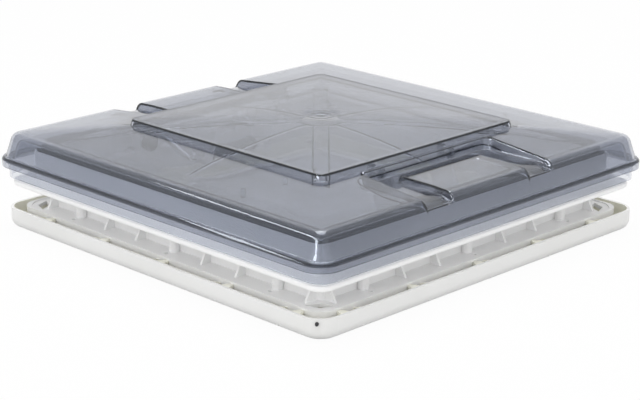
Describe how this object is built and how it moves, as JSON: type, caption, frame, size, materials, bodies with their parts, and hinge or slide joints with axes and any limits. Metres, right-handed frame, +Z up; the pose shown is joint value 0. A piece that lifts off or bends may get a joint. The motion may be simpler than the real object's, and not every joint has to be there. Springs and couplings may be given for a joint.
{
  "type": "caravan roof vent",
  "caption": "Square caravan roof vent: smoke-grey double-skinned dome lifting level on push-up bails over a white screwed roof frame, coaming and ceiling frame with insect screen.",
  "frame": {"origin": "centre of the vent's footprint on the surface it stands on, at the underside of the ceiling frame", "axes": "+Z up out of the roof, -Y towards the front pocket of the dome, +X to the right of it"},
  "size_m": [0.49, 0.49, 0.1225],
  "materials": {
    "ceiling_white": "fine satin",
    "frame_white": "satin",
    "smoke_skin": "polished",
    "clear_skin": "polished",
    "black_rubber": "matt",
    "screw_steel": "zinc plated",
    "bail_steel": "satin",
    "grey_plastic": "satin",
    "net_thread": "matt"
  },
  "bodies": {
    "frame": {"ceiling_frame": "ceiling_white", "screen_stops": "ceiling_white", "screen_frame": "frame_white", "screen_net": "net_thread", "clip_screws": "screw_steel", "clamp_screws": "screw_steel", "screw_caps": "ceiling_white", "corner_plugs": "black_rubber", "roof_frame": "frame_white", "coaming": "frame_white", "coaming_screws": "screw_steel", "coaming_seal": "black_rubber", "pivot_block_front_left": "frame_white", "pivot_block_front_right": "frame_white", "pivot_block_rear_left": "frame_white", "pivot_block_rear_right": "frame_white", "block_screws": "screw_steel"},
    "dome": {"outer_dome": "smoke_skin", "inner_pane": "clear_skin", "track_front_left": "frame_white", "track_front_right": "frame_white", "track_rear_left": "frame_white", "track_rear_right": "frame_white", "track_screws": "screw_steel"},
    "bail_front": {"lift_bail_front": "bail_steel", "bail_grip_front": "grey_plastic"},
    "bail_rear": {"lift_bail_rear": "bail_steel", "bail_grip_rear": "grey_plastic"},
    "clip_front": {"screen_clip_front": "frame_white"},
    "clip_right": {"screen_clip_right": "frame_white"},
    "clip_rear": {"screen_clip_rear": "frame_white"},
    "clip_left": {"screen_clip_left": "frame_white"},
    "knob_front": {"lock_knob_front": "grey_plastic"},
    "knob_rear": {"lock_knob_rear": "grey_plastic"}
  },
  "joints": [
    {"name": "dome_lift", "type": "slide", "parent": "frame", "child": "dome", "axis": [0, 0, 1], "range_m": [0, 0.0589]},
    {"name": "bail_front_swing", "type": "hinge", "parent": "frame", "child": "bail_front", "pos_m": [0, -0.206, 0.078], "axis": [1, 0, 0], "range_deg": [0, 50]},
    {"name": "bail_rear_swing", "type": "hinge", "parent": "frame", "child": "bail_rear", "pos_m": [0, 0.206, 0.078], "axis": [-1, 0, 0], "range_deg": [0, 50]},
    {"name": "clip_front_turn", "type": "hinge", "parent": "frame", "child": "clip_front", "pos_m": [0.074, -0.2, 0.0016], "axis": [0, 0, 1], "range_deg": [0, 90]},
    {"name": "clip_right_turn", "type": "hinge", "parent": "frame", "child": "clip_right", "pos_m": [0.2, 0.074, 0.0016], "axis": [0, 0, 1], "range_deg": [0, 90]},
    {"name": "clip_rear_turn", "type": "hinge", "parent": "frame", "child": "clip_rear", "pos_m": [-0.074, 0.2, 0.0016], "axis": [0, 0, 1], "range_deg": [0, 90]},
    {"name": "clip_left_turn", "type": "hinge", "parent": "frame", "child": "clip_left", "pos_m": [-0.2, -0.074, 0.0016], "axis": [0, 0, 1], "range_deg": [0, 90]},
    {"name": "knob_front_turn", "type": "hinge", "parent": "frame", "child": "knob_front", "pos_m": [0.075, -0.19865, 0.0645], "axis": [0, 1, 0], "range_deg": [0, 180]},
    {"name": "knob_rear_turn", "type": "hinge", "parent": "frame", "child": "knob_rear", "pos_m": [-0.075, 0.19865, 0.0645], "axis": [0, -1, 0], "range_deg": [0, 180]}
  ],
  "couplings": [
    {"joint": "bail_front_swing", "follows": "dome_lift", "rad_per_m": 14.806},
    {"joint": "bail_rear_swing", "follows": "dome_lift", "rad_per_m": 14.806}
  ]
}
